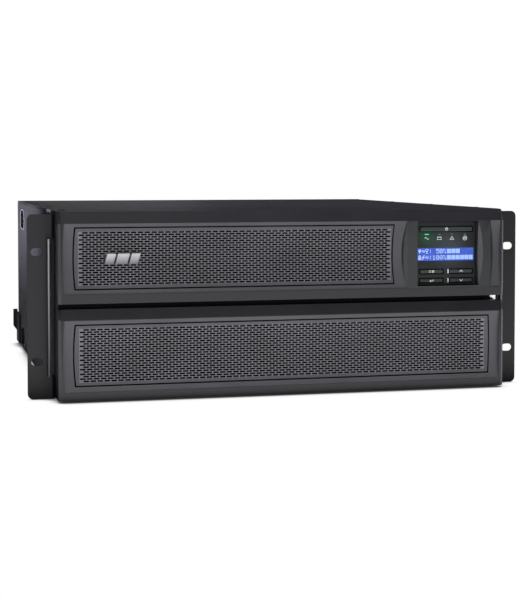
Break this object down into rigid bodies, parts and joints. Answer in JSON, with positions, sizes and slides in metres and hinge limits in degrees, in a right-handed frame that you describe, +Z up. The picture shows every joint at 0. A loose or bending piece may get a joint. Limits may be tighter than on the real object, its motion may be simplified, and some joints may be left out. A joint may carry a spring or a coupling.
{
  "type": "rackmount ups",
  "caption": "Rackmount uninterruptible power supply with two vented bezels, a square display module, rack ears and a battery drawer behind the lower bezel.",
  "frame": {"origin": "middle of the footprint, on the surface that the pads rest on", "axes": "+X to the right seen from the front, +Y to the rear, +Z up"},
  "size_m": [0.4826, 0.483, 0.1742],
  "materials": {
    "black_steel": "satin black powder coat",
    "grey_steel": "satin grey powder coat",
    "zinc_steel": "zinc plated sheet",
    "bezel_plastic": "fine moulded texture, dark grey",
    "grille_steel": "perforated sheet, grey paint",
    "display_plastic": "fine moulded texture, dark green grey",
    "button_plastic": "smooth matte keycap",
    "screen_glass": "blue backlit display window",
    "badge_metal": "polished plate",
    "rubber": "matte black",
    "socket_plastic": "black insulating moulding",
    "circuit_board": "green solder mask",
    "aluminium": "mill finish extrusion",
    "copper": "enamelled copper wire",
    "ferrite": "sintered ferrite",
    "battery_case": "moulded battery case",
    "capacitor_sleeve": "shrink sleeve"
  },
  "bodies": {
    "chassis": {"base_pan": "black_steel", "top_cover": "black_steel", "left_side_panel": "black_steel", "right_side_panel": "black_steel", "front_frame": "black_steel", "rear_panel": "black_steel", "mid_shelf": "zinc_steel", "front_left_pad": "rubber", "front_right_pad": "rubber", "rear_left_pad": "rubber", "rear_right_pad": "rubber", "left_rack_ear": "grey_steel", "right_rack_ear": "grey_steel", "left_rear_hook": "grey_steel", "right_rear_hook": "grey_steel", "left_ear_lower_screw": "zinc_steel", "left_ear_upper_screw": "zinc_steel", "right_ear_lower_screw": "zinc_steel", "right_ear_upper_screw": "zinc_steel", "battery_socket": "socket_plastic", "main_circuit_board": "circuit_board", "heat_sink": "aluminium", "inductor_core": "ferrite", "inductor_winding": "copper", "bulk_capacitor": "capacitor_sleeve", "left_fan_housing": "socket_plastic", "left_fan_guard": "zinc_steel", "right_fan_housing": "socket_plastic", "right_fan_guard": "zinc_steel", "left_outlet_block": "socket_plastic", "right_outlet_block": "socket_plastic", "high_current_outlet": "socket_plastic", "ac_inlet": "socket_plastic", "breaker_body": "socket_plastic", "port_block": "socket_plastic", "external_battery_port": "socket_plastic", "comms_slot_cover": "black_steel", "ground_stud": "zinc_steel"},
    "upper_bezel": {"upper_bezel": "bezel_plastic", "upper_grille": "grille_steel", "badge": "badge_metal"},
    "lower_bezel": {"lower_bezel": "bezel_plastic", "lower_grille": "grille_steel"},
    "display": {"display_housing": "display_plastic", "display_window": "screen_glass"},
    "power_button": {"power_button": "button_plastic"},
    "upper_left_button": {"upper_left_button": "button_plastic"},
    "upper_right_button": {"upper_right_button": "button_plastic"},
    "lower_left_button": {"lower_left_button": "button_plastic"},
    "lower_right_button": {"lower_right_button": "button_plastic"},
    "battery_drawer": {"battery_tray": "zinc_steel", "left_battery": "battery_case", "right_battery": "battery_case", "battery_plug": "socket_plastic"},
    "drawer_handle": {"drawer_handle": "zinc_steel"},
    "left_thumbscrew": {"left_thumbscrew": "zinc_steel"},
    "right_thumbscrew": {"right_thumbscrew": "zinc_steel"},
    "left_fan_rotor": {"left_fan_rotor": "socket_plastic"},
    "right_fan_rotor": {"right_fan_rotor": "socket_plastic"},
    "breaker_button": {"breaker_button": "rubber"}
  },
  "joints": [
    {"name": "upper_bezel_pull", "type": "slide", "parent": "chassis", "child": "upper_bezel", "axis": [0, -1, 0], "range_m": [0, 0.08]},
    {"name": "battery_drawer_slide", "type": "slide", "parent": "chassis", "child": "battery_drawer", "axis": [0, -1, 0], "range_m": [0, 0.28]},
    {"name": "lower_bezel_pull", "type": "slide", "parent": "chassis", "child": "lower_bezel", "axis": [0, -1, 0], "range_m": [0, 0.35]},
    {"name": "display_pull", "type": "slide", "parent": "chassis", "child": "display", "axis": [0, -1, 0], "range_m": [0, 0.035]},
    {"name": "power_button_press", "type": "slide", "parent": "display", "child": "power_button", "axis": [0, 1, 0], "range_m": [0, 0.0008], "stiffness_N_per_m": 300},
    {"name": "upper_left_button_press", "type": "slide", "parent": "display", "child": "upper_left_button", "axis": [0, 1, 0], "range_m": [0, 0.0008], "stiffness_N_per_m": 300},
    {"name": "upper_right_button_press", "type": "slide", "parent": "display", "child": "upper_right_button", "axis": [0, 1, 0], "range_m": [0, 0.0008], "stiffness_N_per_m": 300},
    {"name": "lower_left_button_press", "type": "slide", "parent": "display", "child": "lower_left_button", "axis": [0, 1, 0], "range_m": [0, 0.0008], "stiffness_N_per_m": 300},
    {"name": "lower_right_button_press", "type": "slide", "parent": "display", "child": "lower_right_button", "axis": [0, 1, 0], "range_m": [0, 0.0008], "stiffness_N_per_m": 300},
    {"name": "drawer_handle_swing", "type": "hinge", "parent": "battery_drawer", "child": "drawer_handle", "pos_m": [0, -0.2326, 0.056], "axis": [-1, 0, 0], "range_deg": [0, 90]},
    {"name": "left_thumbscrew_turn", "type": "hinge", "parent": "battery_drawer", "child": "left_thumbscrew", "pos_m": [-0.1995, -0.2294, 0.044], "axis": [0, -1, 0], "continuous": true},
    {"name": "right_thumbscrew_turn", "type": "hinge", "parent": "battery_drawer", "child": "right_thumbscrew", "pos_m": [0.1995, -0.2294, 0.044], "axis": [0, -1, 0], "continuous": true},
    {"name": "left_fan_spin", "type": "hinge", "parent": "chassis", "child": "left_fan_rotor", "pos_m": [-0.16, 0.22, 0.13], "axis": [0, 1, 0], "continuous": true},
    {"name": "right_fan_spin", "type": "hinge", "parent": "chassis", "child": "right_fan_rotor", "pos_m": [-0.072, 0.22, 0.13], "axis": [0, 1, 0], "continuous": true},
    {"name": "breaker_button_press", "type": "slide", "parent": "chassis", "child": "breaker_button", "axis": [0, -1, 0], "range_m": [0, 0.002], "stiffness_N_per_m": 400}
  ],
  "couplings": [
    {"joint": "lower_bezel_pull", "follows": "battery_drawer_slide", "ratio": 1.25},
    {"joint": "drawer_handle_swing", "follows": "battery_drawer_slide", "rad_per_m": 5.6}
  ]
}
